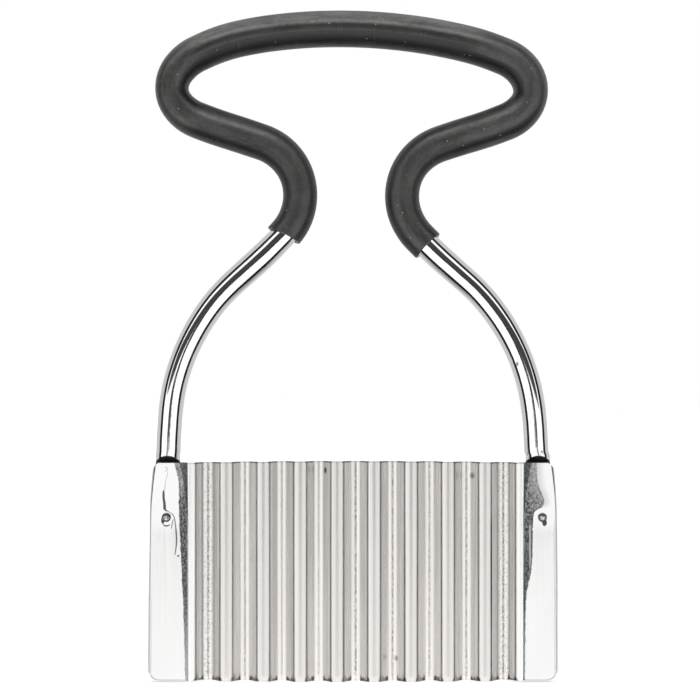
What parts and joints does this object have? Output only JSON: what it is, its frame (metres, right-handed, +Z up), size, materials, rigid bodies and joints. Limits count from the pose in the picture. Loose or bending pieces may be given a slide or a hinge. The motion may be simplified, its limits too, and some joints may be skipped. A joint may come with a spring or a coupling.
{
  "type": "crinkle cutter",
  "caption": "Hand-held crinkle cutter: a corrugated steel blade whose folded ends hold a bent tube handle with a soft black sleeve on its loop.",
  "frame": {"origin": "on the level of the cutting edge, midway between the folded ends, in the plane of the tube's centreline", "axes": "+Z up from the cutting edge to the grip, +X to the right along the blade seen from the front, -Y out of the front"},
  "size_m": [0.1064, 0.0094, 0.1746],
  "materials": {
    "tube_chrome": "bright mirror plating",
    "grip_rubber": "soft matt black with a faint sheen",
    "blade_steel": "satin with fine upright streaks, brighter on the folded ends",
    "rivet_steel": "plain bright steel"
  },
  "bodies": {
    "root": {"handle_tube": "tube_chrome", "grip_sleeve": "grip_rubber", "blade": "blade_steel", "left_rivet": "rivet_steel", "right_rivet": "rivet_steel"}
  },
  "joints": []
}
